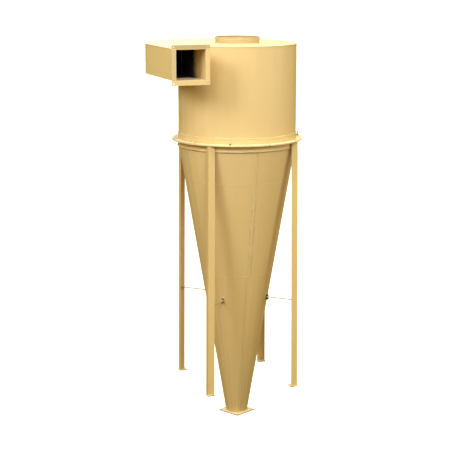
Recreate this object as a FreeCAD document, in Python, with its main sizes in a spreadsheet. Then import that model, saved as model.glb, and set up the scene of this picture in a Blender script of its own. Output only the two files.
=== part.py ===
"""Cyclone separator with a scroll inlet, on four angle iron legs.

Millimetres, +Z up. The inlet's mouth faces -Y. The origin is under the heel of the
front left leg, at the foot plates' underside: the level of the platform that carries
the cyclone. The cone hangs through that platform to its discharge flange.
"""
import FreeCAD, Part
import Sketcher
import os

DIMENSIONS = {
    # barrel, cone and sheet
    "shell_diameter": 900,          # outside of barrel and cone top
    "sheet_thickness": 3,
    "joint_level": 1925,            # where the barrel's ring meets the cone's ring
    "barrel_height": 721,           # from that joint to the roof's top
    "cone_collar": 35,              # straight lip at the top of the cone
    "cone_drop": 266,               # the cone's tip, below the feet
    "cone_tip_diameter": 165,       # outside
    "upper_seam_level": 1620,       # round welds between the cone's courses
    "lower_seam_level": 891,
    # gas outlet
    "outlet_diameter": 334,         # outside
    "outlet_rise": 50,              # above the roof
    "outlet_reach": 90,             # below the duct's floor
    "hoop_height": 20,
    "hoop_thickness": 4,
    # scroll and inlet duct
    "duct_width": 219,              # clear
    "duct_height": 219,             # clear
    "mouth_distance": 570,          # the mouth, in front of the cyclone's axis
    "scroll_start": 105,            # where the duct begins to curve, behind the axis
    "tangent_relief": 20,           # where the inner wall's feather edge is cut off
    "tail_relief": 30,              # where the scroll floor's feather edge is cut off
    "mouth_angle": 30,              # equal angle round the mouth
    "mouth_angle_thickness": 3,
    "mouth_hole_diameter": 9,
    # rings, rolled from equal angle
    "ring_angle": 50,
    "ring_thickness": 5,
    # legs and feet
    "leg_angle": 50,
    "leg_thickness": 4,
    "leg_overhang": 3.5,            # the leg's heel at its top, outside the ring
    "leg_splay": 16,                # how much further out the heel is at the foot
    "foot_size": 60,
    "foot_thickness": 6,
    "anchor_hole_diameter": 12,
    # ties between legs and cone
    "tie_level": 692,
    "tie_diameter": 8,
    "lug_height": 44,
    "lug_length": 26,
    "lug_thickness": 6,
    # discharge flange
    "flange_size": 200,
    "flange_thickness": 6,
    "flange_turn": 27,              # degrees, from the row's axes
    "flange_bolt_circle": 240,
    "flange_hole_diameter": 12,
}

doc = FreeCAD.newDocument("cyclone_separator")
sheet = doc.addObject("Spreadsheet::Sheet", "dims")
for row, (alias, value) in enumerate(DIMENSIONS.items(), start=1):
    sheet.set(f"A{row}", alias)
    sheet.set(f"B{row}", str(value))
    sheet.setAlias(f"B{row}", alias)
doc.recompute()

# Sizes that follow from the sheet, as expressions. X and Y are from the cyclone's axis.
SHEET = "dims.sheet_thickness"
SHELL = "(dims.shell_diameter / 2)"
OUTLET = "(dims.outlet_diameter / 2)"
RING_EDGE = f"({SHELL} + dims.ring_angle)"
HEEL_TOP = f"(({RING_EDGE} + dims.leg_overhang) * cos(45deg))"
HEEL = f"({HEEL_TOP} + dims.leg_splay * cos(45deg))"      # at the foot
RING_UNDER = "(dims.joint_level - dims.ring_thickness)"
ROOF_TOP = "(dims.joint_level + dims.barrel_height)"
ROOF_UNDER = f"({ROOF_TOP} - {SHEET})"
FLOOR_TOP = f"({ROOF_UNDER} - dims.duct_height)"
FLOOR_UNDER = f"({FLOOR_TOP} - {SHEET})"
OUTER_WALL = f"(-{SHELL} - dims.duct_width - {SHEET})"    # outside face, X
INNER_WALL = f"(-{SHELL} + {SHEET})"                      # outside face, X
MOUTH = "(-dims.mouth_distance)"
SCROLL = f"(({SHELL} - {OUTER_WALL}) / 2)"                # outside radius
SCROLL_CENTRE = f"(({SHELL} + {OUTER_WALL}) / 2)"         # X
COLLAR_END = "(dims.joint_level - dims.cone_collar)"
CONE_TIP = "(-dims.cone_drop)"
TIP = "(dims.cone_tip_diameter / 2)"
CONE_SLOPE = f"(({SHELL} - {TIP}) / ({COLLAR_END} - {CONE_TIP}))"
EPSILON = 10                                              # how far cutters run past a face

nodes = {}


def cone_radius(level):
    """Outside radius of the cone at a level."""
    return f"({TIP} + ({level} - {CONE_TIP}) * {CONE_SLOPE})"


def heel_offset(level):
    """How far a leg's heel is from the cyclone's axis, along X and along Y, at a level."""
    risen = f"(({level} - dims.foot_thickness) / ({RING_UNDER} - dims.foot_thickness))"
    return f"({HEEL} + ({HEEL_TOP} - {HEEL}) * {risen})"


def keep(node, label):
    """Name a finished sub-part; its label names its file."""
    node.Label = label
    nodes[label] = node
    return node


def stand(node, x="0", y="0", z="0"):
    """Place an object by expressions, from the cyclone's axis and the feet's level."""
    node.setExpression("Placement.Base.x", f"{HEEL} + {x}")
    node.setExpression("Placement.Base.y", f"{HEEL} + {y}")
    node.setExpression("Placement.Base.z", z)
    return node


def turn(node, axis, degrees):
    """Turn a placed object about its own origin."""
    node.Placement.Rotation = FreeCAD.Rotation(FreeCAD.Vector(*axis), degrees)
    return node


# ---------------------------------------------------------------- primitives and booleans
def box(low, high):
    """A box between two corners, each three expressions."""
    block = doc.addObject("Part::Box", "block")
    for size, start, end in zip(("Length", "Width", "Height"), low, high):
        block.setExpression(size, f"{end} - ({start})")
    return stand(block, *low)


def cylinder(radius, bottom, top, x="0", y="0", sweep=360):
    """An upright cylinder, or a sector of one that starts at +X."""
    drum = doc.addObject("Part::Cylinder", "drum")
    drum.setExpression("Radius", radius)
    drum.setExpression("Height", f"{top} - ({bottom})")
    drum.Angle = sweep
    return stand(drum, x, y, bottom)


def fused(*pieces):
    whole = doc.addObject("Part::MultiFuse", "fused")
    whole.Shapes = list(pieces)
    whole.Refine = True
    return whole


def cut(base, tool):
    rest = doc.addObject("Part::Cut", "cut")
    rest.Base = base
    rest.Tool = tool
    rest.Refine = True
    return rest


def tube(radius, wall, bottom, top):
    """A pipe of an outside radius, standing on the cyclone's axis."""
    bore = cylinder(f"{radius} - {wall}", f"{bottom} - {EPSILON}", f"{top} + {EPSILON}")
    return cut(cylinder(radius, bottom, top), bore)


# ---------------------------------------------------------------- sketched features
def sketch_on(body, plane, offset="0"):
    """A sketch on one of the body's own origin planes, raised along its normal."""
    sketch = body.newObject("Sketcher::SketchObject", "sketch")
    support = next(f for f in body.Origin.OriginFeatures if f.Role == plane)
    sketch.AttachmentSupport = (support, "")
    sketch.MapMode = "FlatFace"
    sketch.setExpression("AttachmentOffset.Base.z", offset)
    return sketch


def locate(sketch, geometry, point, x, y):
    """Hold a point of the sketch at two expressions."""
    for direction, value in (("DistanceX", x), ("DistanceY", y)):
        index = sketch.addConstraint(Sketcher.Constraint(direction, -1, 1, geometry, point, 1.0))
        sketch.setExpression(f"Constraints[{index}]", value)


def polygon(sketch, corners):
    """A closed outline through corners given as pairs of expressions."""
    count = len(corners)
    ring = [FreeCAD.Vector(100, 0, 0)]
    step = FreeCAD.Rotation(FreeCAD.Vector(0, 0, 1), 360 / count)
    for _ in range(count):
        ring.append(step.multVec(ring[-1]))
    for start, end in zip(ring, ring[1:]):
        sketch.addGeometry(Part.LineSegment(start, end))
    for side in range(count):
        sketch.addConstraint(Sketcher.Constraint("Coincident", side, 2, (side + 1) % count, 1))
    for side, (x, y) in enumerate(corners):
        locate(sketch, side, 1, x, y)


def circle(sketch, x, y, diameter):
    """A circle with its centre and diameter given as expressions."""
    index = sketch.addGeometry(Part.Circle(FreeCAD.Vector(50, 50, 0), FreeCAD.Vector(0, 0, 1), 5))
    locate(sketch, index, 3, x, y)
    size = sketch.addConstraint(Sketcher.Constraint("Diameter", index, 10.0))
    sketch.setExpression(f"Constraints[{size}]", diameter)


def body_named(label):
    return keep(doc.addObject("PartDesign::Body", label), label)


def pad(body, sketch, length, symmetric=False):
    feature = body.newObject("PartDesign::Pad", "pad")
    feature.Profile = sketch
    feature.setExpression("Length", length)
    if symmetric:
        feature.SideType = "Symmetric"
    doc.recompute()
    return feature


def drill(body, sketch):
    """Cut a sketch's circles through the whole body, both ways from its plane."""
    before = body.Shape.Volume
    feature = body.newObject("PartDesign::Pocket", "drill")
    feature.Profile = sketch
    feature.Type = "ThroughAll"
    feature.SideType = "Symmetric"
    doc.recompute()
    if not body.Shape.Volume < before:
        raise RuntimeError(f"the holes in {body.Label} cut nothing")
    return feature


def turned(label, profile):
    """A body turned about the cyclone's axis from a profile of (radius, level) corners."""
    body = body_named(label)
    sketch = sketch_on(body, "XZ_Plane")
    polygon(sketch, profile)
    feature = body.newObject("PartDesign::Revolution", "turned")
    feature.Profile = sketch
    feature.ReferenceAxis = (sketch, ["V_Axis"])
    feature.Angle = 360
    return stand(body)


def equal_angle(x, y, along_x, along_y, leg, wall):
    """Corners of an L section with its heel at x, y and its legs along the given signs."""
    steps = ((0, 0), (leg, 0), (leg, wall), (wall, wall), (wall, leg), (0, leg))
    return [(f"{x} + ({along_x}) * {i}", f"{y} + ({along_y}) * {j}") for i, j in steps]


# ---------------------------------------------------------------- the sub-parts
def scroll_plan(bottom, top, duct_side):
    """A plate under or over the duct and scroll, out to the walls' outside faces."""
    duct = box((OUTER_WALL, MOUTH, bottom), (duct_side, "dims.scroll_start", top))
    waist = box((OUTER_WALL, "0", bottom), (SHELL, "dims.scroll_start", top))
    back = cylinder(SCROLL, bottom, top, SCROLL_CENTRE, "dims.scroll_start", 180)
    return [duct, waist, back]


def make_roof():
    barrel = cylinder(SHELL, ROOF_UNDER, ROOF_TOP)
    plate = fused(barrel, *scroll_plan(ROOF_UNDER, ROOF_TOP, INNER_WALL))
    hole = cylinder(OUTLET, f"{ROOF_UNDER} - {EPSILON}", f"{ROOF_TOP} + {EPSILON}")
    keep(cut(plate, hole), "roof_plate")


def make_outlet():
    top = f"({ROOF_TOP} + dims.outlet_rise)"
    keep(tube(OUTLET, SHEET, f"({FLOOR_UNDER} - dims.outlet_reach)", top), "outlet_pipe")
    hoop = f"({OUTLET} + dims.hoop_thickness)"
    keep(tube(hoop, "dims.hoop_thickness", f"({top} - dims.hoop_height)", top), "outlet_hoop")


def make_barrel():
    """The barrel is open to the scroll above the duct's floor, all round the back."""
    shell = tube(SHELL, SHEET, "dims.joint_level", ROOF_UNDER)
    reach = f"({SHELL} + {EPSILON})"
    opening = box((f"(-{reach})", "0", FLOOR_TOP), (reach, reach, f"({ROOF_UNDER} + {EPSILON})"))
    keep(cut(shell, opening), "barrel_shell")


def make_scroll():
    plate = fused(*scroll_plan(FLOOR_UNDER, FLOOR_TOP, INNER_WALL))
    below = f"({FLOOR_UNDER} - {EPSILON})"
    above = f"({FLOOR_TOP} + {EPSILON})"
    tail = box((OUTLET, "0", below), (f"({SHELL} + {EPSILON})", "dims.tail_relief", above))
    keep(cut(plate, fused(cylinder(SHELL, below, above), tail)), "scroll_floor")

    centre = (SCROLL_CENTRE, "dims.scroll_start")
    back = cylinder(SCROLL, FLOOR_TOP, ROOF_UNDER, *centre, 180)
    hollow = cylinder(f"{SCROLL} - {SHEET}", FLOOR_TOP, ROOF_UNDER, *centre, 180)
    tail_wall = box((f"({SHELL} - {SHEET})", "0", FLOOR_TOP), (SHELL, "dims.scroll_start", ROOF_UNDER))
    keep(fused(cut(back, hollow), tail_wall), "scroll_wall")


def make_duct():
    outer_inside = f"({OUTER_WALL} + {SHEET})"
    outer = box((OUTER_WALL, MOUTH, FLOOR_TOP), (outer_inside, "dims.scroll_start", ROOF_UNDER))
    keep(outer, "duct_outer_wall")
    end = "(-dims.tangent_relief)"
    slab = box((f"(-{SHELL})", MOUTH, FLOOR_TOP), (INNER_WALL, end, ROOF_UNDER))
    keep(cut(slab, cylinder(SHELL, FLOOR_TOP, ROOF_UNDER)), "duct_inner_wall")


def make_mouth_bar(label, reach, length, angle, holes):
    """A bar of the mouth's frame, drawn above the mouth's centre and turned round it."""
    wall = "dims.mouth_angle_thickness"
    body = body_named(label)
    section = sketch_on(body, "YZ_Plane")
    polygon(section, equal_angle("0", reach, 1, 1, "dims.mouth_angle", wall))
    pad(body, section, length, symmetric=True)
    if holes:
        drilling = sketch_on(body, "XZ_Plane")
        for x in holes:
            circle(drilling, x, f"{reach} + dims.mouth_angle / 2", "dims.mouth_hole_diameter")
        drill(body, drilling)
    turn(body, (0, 1, 0), angle)
    stand(body, f"({OUTER_WALL} + {INNER_WALL}) / 2", MOUTH, f"({FLOOR_UNDER} + {ROOF_TOP}) / 2")


def make_mouth_frame():
    half_wide = f"(({INNER_WALL} - {OUTER_WALL}) / 2)"
    half_high = f"(({ROOF_TOP} - {FLOOR_UNDER}) / 2)"
    corner = f"({half_wide} + dims.mouth_angle / 2)"
    full = f"(2 * {half_wide} + 2 * dims.mouth_angle)"
    corners = (f"(-{corner})", corner)
    make_mouth_bar("mouth_bar_top", half_high, full, 0, corners)
    make_mouth_bar("mouth_bar_inner", half_wide, f"2 * {half_high}", 90, ())
    make_mouth_bar("mouth_bar_bottom", half_high, full, 180, corners)
    make_mouth_bar("mouth_bar_outer", half_wide, f"2 * {half_high}", 270, ())


def make_rings():
    """Two rings rolled from angle, back to back at the joint of barrel and cone."""
    size = ("dims.ring_angle", "dims.ring_thickness")
    turned("barrel_ring", equal_angle(SHELL, "dims.joint_level", 1, 1, *size))
    turned("cone_ring", equal_angle(SHELL, "dims.joint_level", 1, -1, *size))


def cone_course(label, top, bottom, collar=()):
    """A course of the cone: sheet between two levels, below an optional straight collar."""
    outside = [*collar, (cone_radius(top), top), (cone_radius(bottom), bottom)]
    inside = [(f"{radius} - {SHEET}", level) for radius, level in reversed(outside)]
    turned(label, outside + inside)


def make_cone():
    levels = (COLLAR_END, "dims.upper_seam_level", "dims.lower_seam_level", CONE_TIP)
    cone_course("cone_upper", levels[0], levels[1], [(SHELL, "dims.joint_level")])
    cone_course("cone_middle", levels[1], levels[2])
    cone_course("cone_lower", levels[2], levels[3])


def make_discharge_flange():
    body = body_named("discharge_flange")
    half = "(dims.flange_size / 2)"
    outline = sketch_on(body, "XY_Plane")
    polygon(outline, [(f"{i} * {half}", f"{j} * {half}") for i, j in ((-1, -1), (1, -1), (1, 1), (-1, 1))])
    pad(body, outline, "dims.flange_thickness")
    holes = sketch_on(body, "XY_Plane")
    circle(holes, "0", "0", f"dims.cone_tip_diameter - 2 * {SHEET}")
    drill(body, holes)
    bolts = sketch_on(body, "XY_Plane")
    offset = "dims.flange_bolt_circle / 2 * cos(45deg)"
    circle(bolts, offset, offset, "dims.flange_hole_diameter")
    bolt_hole = drill(body, bolts)
    pattern = body.newObject("PartDesign::PolarPattern", "bolt_holes")
    pattern.Originals = [bolt_hole]
    pattern.Axis = (bolts, ["N_Axis"])
    pattern.Angle = 360
    pattern.Occurrences = 4
    body.Tip = pattern
    body.setExpression("Placement.Rotation.Angle", "dims.flange_turn")
    body.setExpression("Placement.Rotation.Axis.z", "1")
    stand(body, z=f"{CONE_TIP} - dims.flange_thickness")


def make_leg(name, quarter):
    """A leg, its foot, its tie and the tie's lug, drawn at the front left and turned."""
    leg = body_named(f"leg_{name}")
    ends = []
    for level in ("dims.foot_thickness", RING_UNDER):
        ends.append(sketch_on(leg, "XY_Plane", level))
        heel = f"(-{heel_offset(level)})"
        polygon(ends[-1], equal_angle(heel, heel, 1, 1, "dims.leg_angle", "dims.leg_thickness"))
    loft = leg.newObject("PartDesign::AdditiveLoft", "loft")
    loft.Profile = ends[0]
    loft.Sections = ends[1:]
    loft.Ruled = True
    turn(leg, (0, 0, 1), quarter)
    stand(leg)

    foot = body_named(f"foot_plate_{name}")
    centre = f"(-{HEEL} + dims.leg_angle / 2)"
    half = "dims.foot_size / 2"
    low, high = f"{centre} - {half}", f"{centre} + {half}"
    outline = sketch_on(foot, "XY_Plane")
    polygon(outline, [(low, low), (high, low), (high, high), (low, high)])
    pad(foot, outline, "dims.foot_thickness")
    anchor = sketch_on(foot, "XY_Plane")
    circle(anchor, centre, centre, "dims.anchor_hole_diameter")
    drill(foot, anchor)
    turn(foot, (0, 0, 1), quarter)
    stand(foot)

    to_leg = 225 + quarter
    half_lug = "dims.lug_height / 2"
    low, high = f"(dims.tie_level - {half_lug})", f"(dims.tie_level + {half_lug})"
    lug_end = f"({cone_radius('dims.tie_level')} + dims.lug_length)"
    lug = body_named(f"tie_lug_{name}")
    side = sketch_on(lug, "XZ_Plane")
    polygon(side, [(cone_radius(low), low), (lug_end, low), (lug_end, high), (cone_radius(high), high)])
    pad(lug, side, "dims.lug_thickness", symmetric=True)
    turn(lug, (0, 0, 1), to_leg)
    stand(lug)

    corner = f"(({heel_offset('dims.tie_level')} - dims.leg_thickness) * sqrt(2))"
    tie = body_named(f"tie_rod_{name}")
    end = sketch_on(tie, "YZ_Plane", lug_end)
    circle(end, "0", "0", "dims.tie_diameter")
    pad(tie, end, f"{corner} - dims.tie_diameter / 2 - {lug_end}")
    turn(tie, (0, 0, 1), to_leg)
    stand(tie, z="dims.tie_level")


def make_legs():
    for step, name in enumerate(("front_left", "front_right", "back_right", "back_left")):
        make_leg(name, 90 * step)


def export():
    """Check every object, then write one STEP file for each sub-part."""
    doc.recompute()
    for item in doc.Objects:
        if {"Invalid", "Error"} & set(item.State):
            raise RuntimeError(f"{item.Name} ({item.Label}): {item.State}")
    os.makedirs("parts", exist_ok=True)
    for label, node in nodes.items():
        shape = node.Shape
        if shape.isNull() or not shape.isValid() or len(shape.Solids) != 1:
            raise RuntimeError(f"{label} is not one valid solid")
        shape.exportStep(f"parts/{label}.step")
        print(f"{label:20s} {shape.Volume / 1000:10.1f} cm3")


make_roof()
make_outlet()
make_barrel()
make_scroll()
make_duct()
make_mouth_frame()
make_rings()
make_cone()
make_discharge_flange()
make_legs()
export()
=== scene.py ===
# %% [markdown]
# # The looks of a cyclone separator
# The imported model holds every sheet, angle and plate of the cyclone at its true size. This
# script leaves those where they are. It adds what a fabricator and a painter add: weld beads,
# the bolts of the ring joint, and one coat of sand coloured machine paint over everything.
# Lengths are metres. The CAD frame has its origin under the front left foot, with Z up.

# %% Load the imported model
import bpy
import numpy as np
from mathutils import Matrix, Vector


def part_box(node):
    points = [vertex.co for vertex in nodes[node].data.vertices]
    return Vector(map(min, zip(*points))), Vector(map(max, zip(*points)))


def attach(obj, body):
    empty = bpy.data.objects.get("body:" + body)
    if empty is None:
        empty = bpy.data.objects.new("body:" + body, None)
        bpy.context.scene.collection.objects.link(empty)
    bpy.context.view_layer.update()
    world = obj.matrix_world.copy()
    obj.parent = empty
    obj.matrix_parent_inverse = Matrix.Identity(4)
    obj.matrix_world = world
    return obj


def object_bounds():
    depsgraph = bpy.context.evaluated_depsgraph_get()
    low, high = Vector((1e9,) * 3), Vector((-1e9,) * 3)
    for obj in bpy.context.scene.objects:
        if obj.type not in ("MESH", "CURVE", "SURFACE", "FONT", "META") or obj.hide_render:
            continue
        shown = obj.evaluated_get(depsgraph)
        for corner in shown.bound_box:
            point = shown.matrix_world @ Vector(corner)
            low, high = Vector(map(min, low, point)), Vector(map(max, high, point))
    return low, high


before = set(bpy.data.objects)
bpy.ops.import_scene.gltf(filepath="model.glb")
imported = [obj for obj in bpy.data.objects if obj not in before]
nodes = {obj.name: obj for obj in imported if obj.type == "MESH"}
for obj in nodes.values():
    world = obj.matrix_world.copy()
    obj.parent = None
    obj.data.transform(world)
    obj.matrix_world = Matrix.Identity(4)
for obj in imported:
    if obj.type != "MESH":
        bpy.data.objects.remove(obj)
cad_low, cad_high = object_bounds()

print("sub-parts:", len(nodes), "box:", tuple(cad_low), tuple(cad_high))

# %% [markdown]
# The barrel, the cone and the gas outlet all turn about one upright axis. The outlet pipe's box
# is centred on it, so its middle gives the axis, and every round weld and bolt is placed from it.

# %% Find the axis and the levels
def box_of(node):
    """Lowest and highest corner of a CAD sub-part, as arrays."""
    low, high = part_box(node)
    return np.array(low), np.array(high)


outlet_low, outlet_high = box_of("outlet_pipe")
AXIS = (outlet_low + outlet_high) / 2 * (1, 1, 0)
JOINT_LEVEL = box_of("barrel_ring")[0][2]
SHELL_RADIUS = box_of("cone_upper")[1][0] - AXIS[0]
print("axis:", AXIS[:2], "joint level:", JOINT_LEVEL, "shell radius:", SHELL_RADIUS)

# %% [markdown]
# The camera stands about ten metres away, in front and to the left, and a little higher than
# the roof. The long lens keeps the legs nearly parallel, as they look from across a yard.

# %% The camera
from mathutils import Vector

CAMERA_DISTANCE = 9.876          # from the axis, along the ground
CAMERA_AZIMUTH = np.radians(20.405)
CAMERA_HEIGHT = 3.218
CAMERA_TURN = -0.0094            # past the axis, in radians
CAMERA_TILT = 0.1977             # below the horizon, in radians
CAMERA_LENS = 103.39             # millimetres
PICTURE_WIDTH = 36               # millimetres, behind that lens
FARTHEST_SEEN = 400              # past the far edge of the floor


def put_in_scene(name, data):
    """An object that holds a mesh, a lamp or a camera."""
    item = bpy.data.objects.new(name, data)
    bpy.context.scene.collection.objects.link(item)
    return item


heading = CAMERA_AZIMUTH + CAMERA_TURN
forward = Vector((
    np.sin(heading) * np.cos(CAMERA_TILT),
    np.cos(heading) * np.cos(CAMERA_TILT),
    -np.sin(CAMERA_TILT),
))
stand_back = np.array([np.sin(CAMERA_AZIMUTH), np.cos(CAMERA_AZIMUTH), 0]) * CAMERA_DISTANCE
camera_data = bpy.data.cameras.new("camera")
camera_data.lens = CAMERA_LENS
camera_data.sensor_width = PICTURE_WIDTH
camera_data.clip_end = FARTHEST_SEEN
camera = put_in_scene("camera", camera_data)
camera.location = AXIS - stand_back + (0, 0, CAMERA_HEIGHT)
camera.rotation_euler = forward.to_track_quat("-Z", "Y").to_euler()
bpy.context.scene.camera = camera
print("camera at", tuple(round(v, 3) for v in camera.location))

# %% [markdown]
# ## A short way to write node trees
# Paint is built from nodes. One helper makes a node, sets it and wires it, so a material reads
# as a list of steps. A socket given as a value is linked, and anything else is set.

# %% Helpers for node trees
def add(tree, kind, inputs=None, **settings):
    """A node of one kind; inputs holds values, or the sockets that feed them."""
    node = tree.nodes.new(kind)
    for name, value in settings.items():
        setattr(node, name, value)
    for key, value in (inputs or {}).items():
        if isinstance(value, bpy.types.NodeSocket):
            tree.links.new(value, node.inputs[key])
        else:
            node.inputs[key].default_value = value
    return node


def calc(tree, operation, *terms):
    """The result socket of one sum on numbers or sockets."""
    return add(tree, "ShaderNodeMath", dict(enumerate(terms)), operation=operation).outputs[0]


def product(tree, *terms):
    """The result socket of two or more terms multiplied."""
    result = terms[0]
    for term in terms[1:]:
        result = calc(tree, "MULTIPLY", result, term)
    return result


def vector_calc(tree, operation, *terms, output=0):
    """One result socket of a sum on vectors; output names it where it is a number."""
    node = add(tree, "ShaderNodeVectorMath", dict(enumerate(terms)), operation=operation)
    return node.outputs[output]


def ramp(tree, value, low, high, to_low=0.0, to_high=1.0):
    """A smooth change from to_low to to_high while value goes from low to high."""
    spread = {"Value": value, 1: low, 2: high, 3: to_low, 4: to_high}
    node = add(tree, "ShaderNodeMapRange", spread, interpolation_type="SMOOTHSTEP")
    return node.outputs["Result"]


def object_place(tree):
    """The place on the surface, in metres from the frame's origin."""
    return add(tree, "ShaderNodeTexCoord").outputs["Object"]


def noise(tree, place=None, scale=1.0, detail=3.0):
    """A cloudy value round 0.5 at each place; scale is features per metre."""
    place = place or object_place(tree)
    inputs = {"Vector": place, "Scale": scale, "Detail": detail, "Roughness": 0.55}
    return add(tree, "ShaderNodeTexNoise", inputs).outputs["Fac"]


def blend_colour(tree, mask, first, second):
    """first where mask is 0, second where it is 1; 6, 7 and 2 are the node's colour sockets."""
    return add(tree, "ShaderNodeMix", {0: mask, 6: first, 7: second}, data_type="RGBA").outputs[2]


def start_group(name, inputs, outputs):
    """An empty node group with named sockets: its tree, its input sockets and its end node."""
    tree = bpy.data.node_groups.new(name, "ShaderNodeTree")
    for label, kind, value in inputs:
        socket = tree.interface.new_socket(label, in_out="INPUT", socket_type=kind)
        socket.default_value = value
    for label, kind in outputs:
        tree.interface.new_socket(label, in_out="OUTPUT", socket_type=kind)
    entry = tree.nodes.new("NodeGroupInput")
    return tree, entry.outputs, tree.nodes.new("NodeGroupOutput")


def use_group(tree, group, **inputs):
    """The outputs of a group placed in a tree; input names are written with _ for a space."""
    node = add(tree, "ShaderNodeGroup", node_tree=group)
    for label, value in inputs.items():
        node.inputs[label.replace("_", " ")].default_value = value
    return node.outputs


def start_finish(name):
    """A new material, its tree and its shader."""
    material = bpy.data.materials.new(name)
    material.use_nodes = True
    return material, material.node_tree, material.node_tree.nodes["Principled BSDF"]


FLOAT, VECTOR = "NodeSocketFloat", "NodeSocketVector"
print("node helpers ready")

# %% [markdown]
# ## Floor, sky and lamps
# The cyclone hangs in a platform, so its discharge flange is lower than its feet. The pale floor
# lies under the flange. It is one wide sheet that a visitor sees as white. For light that bounces
# it is a duller grey, as the ground of a yard is, so the cone isn't lit from below.

# %% The floor
FLOOR_SIZE = 200.0
FLOOR_COLOUR = (0.93, 0.93, 0.93, 1)
FLOOR_BOUNCE = (0.11, 0.085, 0.050, 1)
FLOOR_GLOW = 0.50
FLOOR_GAP = 0.0005               # under the discharge flange

corner = FLOOR_SIZE / 2
floor_level = cad_low[2] - FLOOR_GAP
ends = np.array([(-corner, -corner), (corner, -corner), (corner, corner), (-corner, corner)])
floor_points = np.column_stack([ends + AXIS[:2], np.full(4, floor_level)])
floor_mesh = bpy.data.meshes.new("floor")
floor_mesh.from_pydata(floor_points, [], [(0, 1, 2, 3)])
floor = put_in_scene("floor", floor_mesh)

floor_paint, tree, shader = start_finish("pale_floor")
seen = add(tree, "ShaderNodeLightPath").outputs["Is Camera Ray"]
tone = blend_colour(tree, seen, FLOOR_BOUNCE, FLOOR_COLOUR)
shader.inputs["Roughness"].default_value = 0.9
shader.inputs["Specular IOR Level"].default_value = 0.1
shader.inputs["Emission Color"].default_value = (1, 1, 1, 1)
tree.links.new(tone, shader.inputs["Base Color"])
tree.links.new(product(tree, seen, FLOOR_GLOW), shader.inputs["Emission Strength"])
floor_mesh.materials.append(floor_paint)
print("floor level:", round(floor_level, 4))

# %% [markdown]
# Broad round lamps stand high in front: a strong one to the left, two near the camera and a
# weak one far to the right. Their light is cool and the sky's is warm, so shade stays golden.
# They light the barrel more than the foot of the cone, and lay the soft shadows of the duct and
# of the front leg to the right. A soft lamp overhead bleaches the roof, and a last weak lamp
# behind keeps the scroll from going dark. Seen directly, the sky is plain white.

# %% The sky and the lamps
SKY_LIGHT = (1.0, 0.90, 0.30, 1)
SKY_SEEN = (1.0, 1.0, 1.0, 1)
SKY_STRENGTH = 0.57
LAMP_LIGHT = (0.76, 0.83, 1.0)
LAMP_WIDTH = 2.4
LAMP_AIM = AXIS + (0, 0, 1.5)
LAMPS = {                        # degrees to the left of the camera, distance, level, watts
    "left_lamp": (46, 5.5, 5.2, 220),
    "near_lamp": (10, 5.5, 5.2, 80),
    "front_lamp": (-10, 5.5, 5.2, 184),
    "right_lamp": (-75, 5.5, 3.4, 86),
    "back_lamp": (165, 6.5, 4.6, 85),
}
TOP_STRENGTH = 2.2
TOP_LIGHT = (1.0, 1.0, 0.85)
TOP_SOFTNESS = np.radians(34)
TOP_PLACE = AXIS + (-0.3, -0.6, 8.0)

world = bpy.data.worlds.new("sky")
bpy.context.scene.world = world
world.use_nodes = True
tree = world.node_tree
seen = add(tree, "ShaderNodeLightPath").outputs["Is Camera Ray"]
sky_colour = blend_colour(tree, seen, SKY_LIGHT, SKY_SEEN)
sky_strength = calc(tree, "ADD", SKY_STRENGTH, product(tree, seen, 1 - SKY_STRENGTH))
background = tree.nodes["Background"]
tree.links.new(sky_colour, background.inputs["Color"])
tree.links.new(sky_strength, background.inputs["Strength"])


def hang(data, place, aim):
    """A lamp at a place, turned to shine at another."""
    item = put_in_scene(data.name, data)
    item.location = place
    item.rotation_euler = Vector(aim - place).to_track_quat("-Z", "Y").to_euler()


for name, (left_of_camera, distance, level, watts) in LAMPS.items():
    data = bpy.data.lights.new(name, "AREA")
    data.shape = "DISK"
    data.size = LAMP_WIDTH
    data.energy = watts
    data.color = LAMP_LIGHT
    azimuth = CAMERA_AZIMUTH + np.radians(left_of_camera)
    away = np.array([-np.sin(azimuth), -np.cos(azimuth), 0]) * distance
    hang(data, AXIS + away + (0, 0, level), LAMP_AIM)
overhead = bpy.data.lights.new("top_lamp", "SUN")
overhead.energy = TOP_STRENGTH
overhead.angle = TOP_SOFTNESS
overhead.color = TOP_LIGHT
hang(overhead, TOP_PLACE, AXIS)
bpy.context.scene.view_settings.view_transform = "Standard"

# %% [markdown]
# ## The paint
# The real cyclone has one coat of sand paint, sprayed on after welding. Four things keep it from
# looking flat: the tone drifts from pass to pass of the spray gun, edges are paler with wear and
# a painted highlight, what faces up is paler with dust and painted light, and corners are darker
# with grime and painted shade. Each is a node group.

# %% Group: spray tone and orange peel
STROKE = 0.45                    # a cloud of tone is about twice as high as wide
BROAD_SHARE = 0.65               # of the tone; the rest is fine mottling

group_inputs = [("Drift", FLOAT, 0.5), ("Peel", FLOAT, 0.5)]
group_outputs = [("Tone", FLOAT), ("Height", FLOAT)]
spray_tone, entry, end = start_group("spray_tone", group_inputs, group_outputs)
place = object_place(spray_tone)
passes = vector_calc(spray_tone, "MULTIPLY", place, (1.0, 1.0, STROKE))
broad = noise(spray_tone, passes, scale=2.6, detail=2.0)
mottled = noise(spray_tone, place, scale=17.0, detail=4.0)
mottled = product(spray_tone, mottled, 1 - BROAD_SHARE)
both = calc(spray_tone, "MULTIPLY_ADD", broad, BROAD_SHARE, mottled)
drift = product(spray_tone, calc(spray_tone, "SUBTRACT", both, 0.5), entry["Drift"])
spray_tone.links.new(calc(spray_tone, "ADD", 0.5, drift), end.inputs["Tone"])
peel = product(spray_tone, noise(spray_tone, place, scale=420.0, detail=2.0), entry["Peel"])
spray_tone.links.new(peel, end.inputs["Height"])
print("group:", spray_tone.name)
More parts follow.
